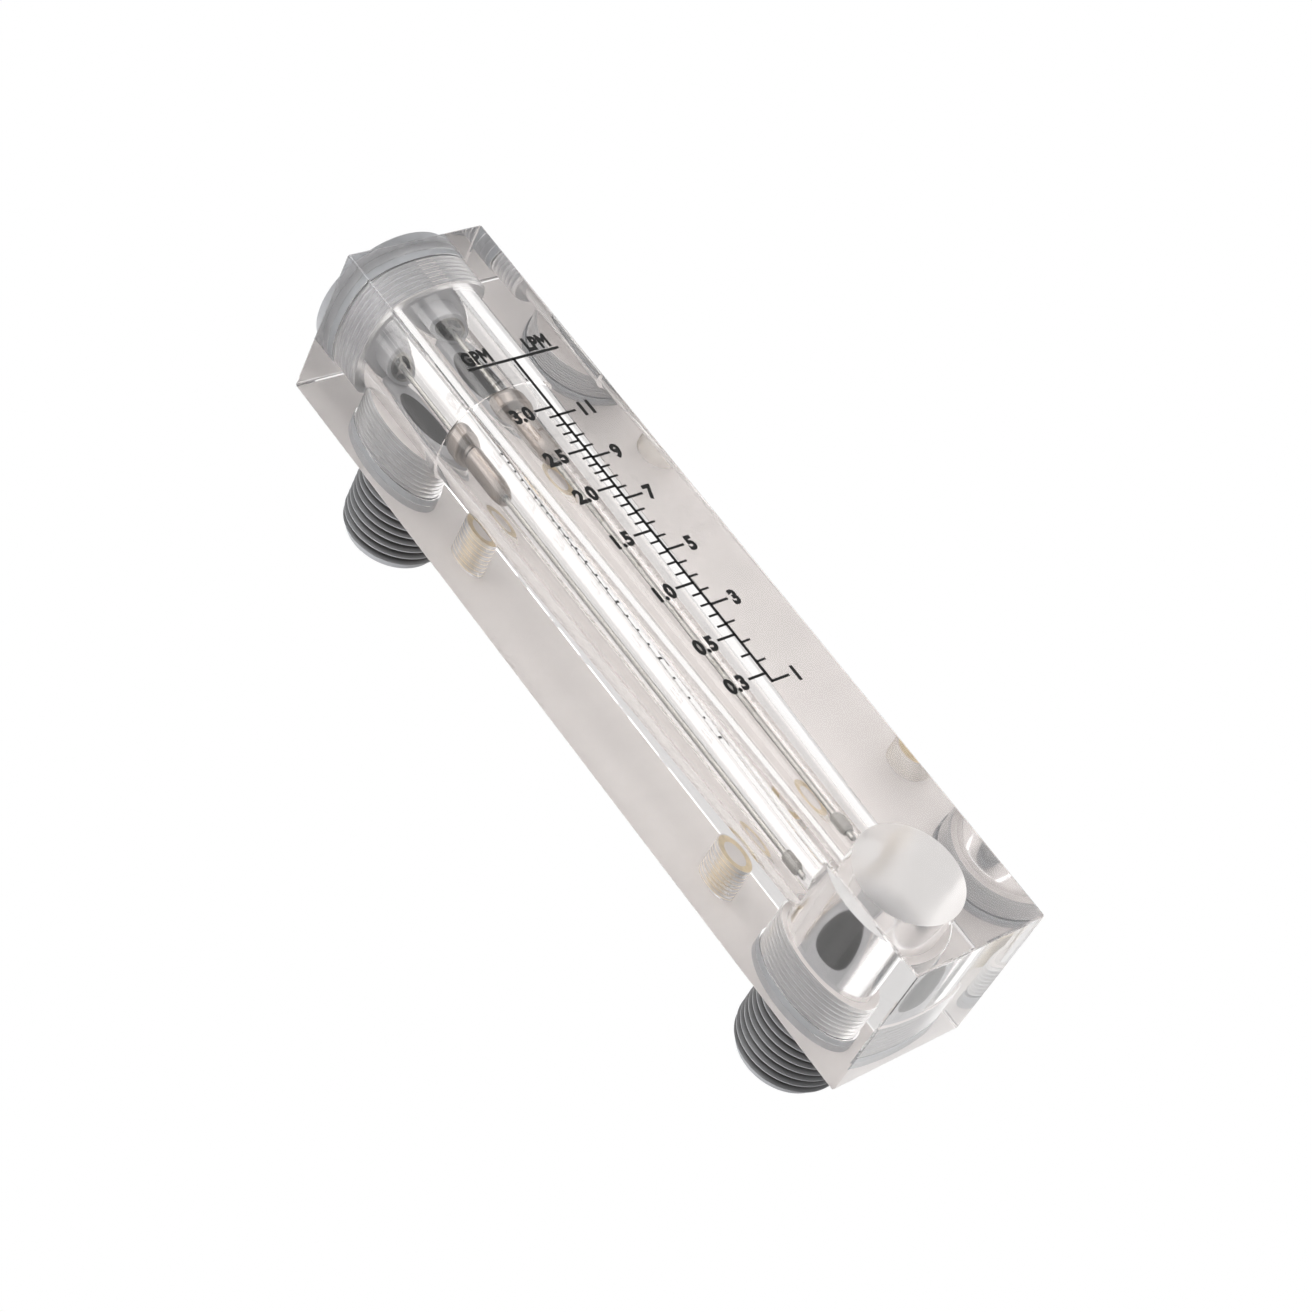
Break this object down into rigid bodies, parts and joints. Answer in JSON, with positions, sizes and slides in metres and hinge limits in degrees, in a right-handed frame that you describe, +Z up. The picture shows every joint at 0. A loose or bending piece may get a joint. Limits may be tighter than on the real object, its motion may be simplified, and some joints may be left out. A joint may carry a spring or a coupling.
{
  "type": "rotameter",
  "caption": "Panel flow meter: clear acrylic block with a tapered bore, a metal float on a guide rod, and threaded pipe nozzles at the back.",
  "frame": {"origin": "on the base face, under the axis of the measuring bore", "axes": "+Z up along the measuring bore, -Y out of the printed front face, +Y out of the pipe side"},
  "size_m": [0.0306, 0.055, 0.1672],
  "materials": {
    "clear_acrylic": "polished clear acrylic",
    "grey_moulding": "moulded grey ABS, satin",
    "seal_rubber": "pale grey silicone rubber",
    "steel": "drawn stainless steel",
    "stop_bead": "turned grey acetal",
    "float_metal": "turned stainless steel",
    "insert_brass": "turned brass with a knurl"
  },
  "bodies": {
    "housing": {"body_block": "clear_acrylic", "top_plug": "grey_moulding", "top_plug_seal": "seal_rubber", "rod_spider": "steel", "guide_rod": "steel", "rod_stop_bead": "stop_bead", "lower_nozzle": "grey_moulding", "lower_nozzle_seal": "seal_rubber", "upper_nozzle": "grey_moulding", "upper_nozzle_seal": "seal_rubber", "lower_mount_insert": "insert_brass", "upper_mount_insert": "insert_brass"},
    "float": {"float": "float_metal"}
  },
  "joints": [
    {"name": "float_slide", "type": "slide", "parent": "housing", "child": "float", "axis": [0, 0, 1], "range_m": [-0.0827, 0.0177]}
  ]
}
